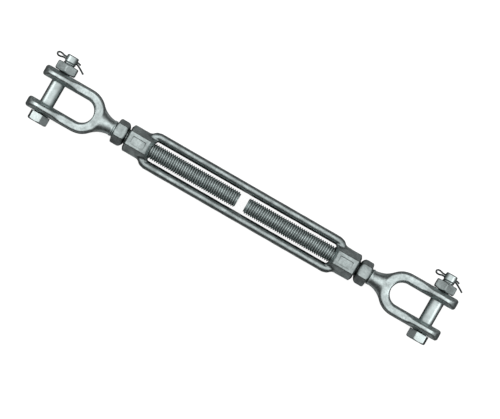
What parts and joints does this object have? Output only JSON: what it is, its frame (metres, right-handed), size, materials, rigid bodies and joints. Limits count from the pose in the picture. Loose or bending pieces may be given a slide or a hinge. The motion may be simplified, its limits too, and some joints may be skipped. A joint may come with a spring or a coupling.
{
  "type": "rigging turnbuckle",
  "caption": "Jaw-and-jaw rigging turnbuckle with an open forged body, opposite-hand threaded jaws, lock nuts, and a bolt, nut and cotter pin in each jaw.",
  "frame": {"origin": "middle of the turnbuckle body, on the thread axis", "axes": "+X along the thread axis, from the right-hand-threaded end a to the left-hand-threaded end b; +Y along the clevis bolts, towards their nuts; +Z square to the plane of the two reins"},
  "size_m": [0.3896, 0.0623, 0.0312],
  "materials": {
    "body_forging": "hot-dip galvanised drop forging, satin grey with soft mottling",
    "jaw_forging": "hot-dip galvanised drop forging, light satin grey",
    "lock_nut": "hot-dip galvanised, satin grey",
    "clevis_bolt": "hot-dip galvanised, light satin grey",
    "clevis_nut": "hot-dip galvanised, light satin grey",
    "cotter_pin": "zinc-plated bright steel wire"
  },
  "bodies": {
    "jaw_a": {"jaw_a": "jaw_forging"},
    "lock_nut_a": {"lock_nut_a": "lock_nut"},
    "turnbuckle_body": {"turnbuckle_body": "body_forging"},
    "jaw_b": {"jaw_b": "jaw_forging"},
    "lock_nut_b": {"lock_nut_b": "lock_nut"},
    "clevis_bolt_a": {"clevis_bolt_a": "clevis_bolt", "cotter_pin_a": "cotter_pin"},
    "clevis_nut_a": {"clevis_nut_a": "clevis_nut"},
    "clevis_bolt_b": {"clevis_bolt_b": "clevis_bolt", "cotter_pin_b": "cotter_pin"},
    "clevis_nut_b": {"clevis_nut_b": "clevis_nut"}
  },
  "joints": [
    {"name": "lock_nut_a_travel", "type": "slide", "parent": "jaw_a", "child": "lock_nut_a", "axis": [1, 0, 0], "range_m": [-0.00294, 0.07328]},
    {"name": "body_turn", "type": "hinge", "parent": "lock_nut_a", "child": "turnbuckle_body", "pos_m": [0, 0, 0], "axis": [1, 0, 0], "range_deg": [-540, 13500]},
    {"name": "jaw_b_travel", "type": "slide", "parent": "jaw_a", "child": "jaw_b", "axis": [1, 0, 0], "range_m": [-0.00588, 0.14656]},
    {"name": "lock_nut_b_travel", "type": "slide", "parent": "jaw_b", "child": "lock_nut_b", "axis": [-1, 0, 0], "range_m": [-0.00294, 0.07328]},
    {"name": "clevis_bolt_a_turn", "type": "hinge", "parent": "jaw_a", "child": "clevis_bolt_a", "pos_m": [-0.1792, 0, 0], "axis": [0, 1, 0], "continuous": true},
    {"name": "clevis_nut_a_turn", "type": "hinge", "parent": "clevis_bolt_a", "child": "clevis_nut_a", "pos_m": [-0.1792, 0, 0], "axis": [0, 1, 0], "range_deg": [0, 600]},
    {"name": "clevis_bolt_b_turn", "type": "hinge", "parent": "jaw_b", "child": "clevis_bolt_b", "pos_m": [0.1792, 0, 0], "axis": [0, 1, 0], "continuous": true},
    {"name": "clevis_nut_b_turn", "type": "hinge", "parent": "clevis_bolt_b", "child": "clevis_nut_b", "pos_m": [0.1792, 0, 0], "axis": [0, 1, 0], "range_deg": [0, 600]}
  ],
  "couplings": [
    {"joint": "lock_nut_a_travel", "follows": "body_turn", "m_per_rad": 0.00031096},
    {"joint": "jaw_b_travel", "follows": "body_turn", "m_per_rad": 0.00062193},
    {"joint": "lock_nut_b_travel", "follows": "body_turn", "m_per_rad": 0.00031096}
  ]
}
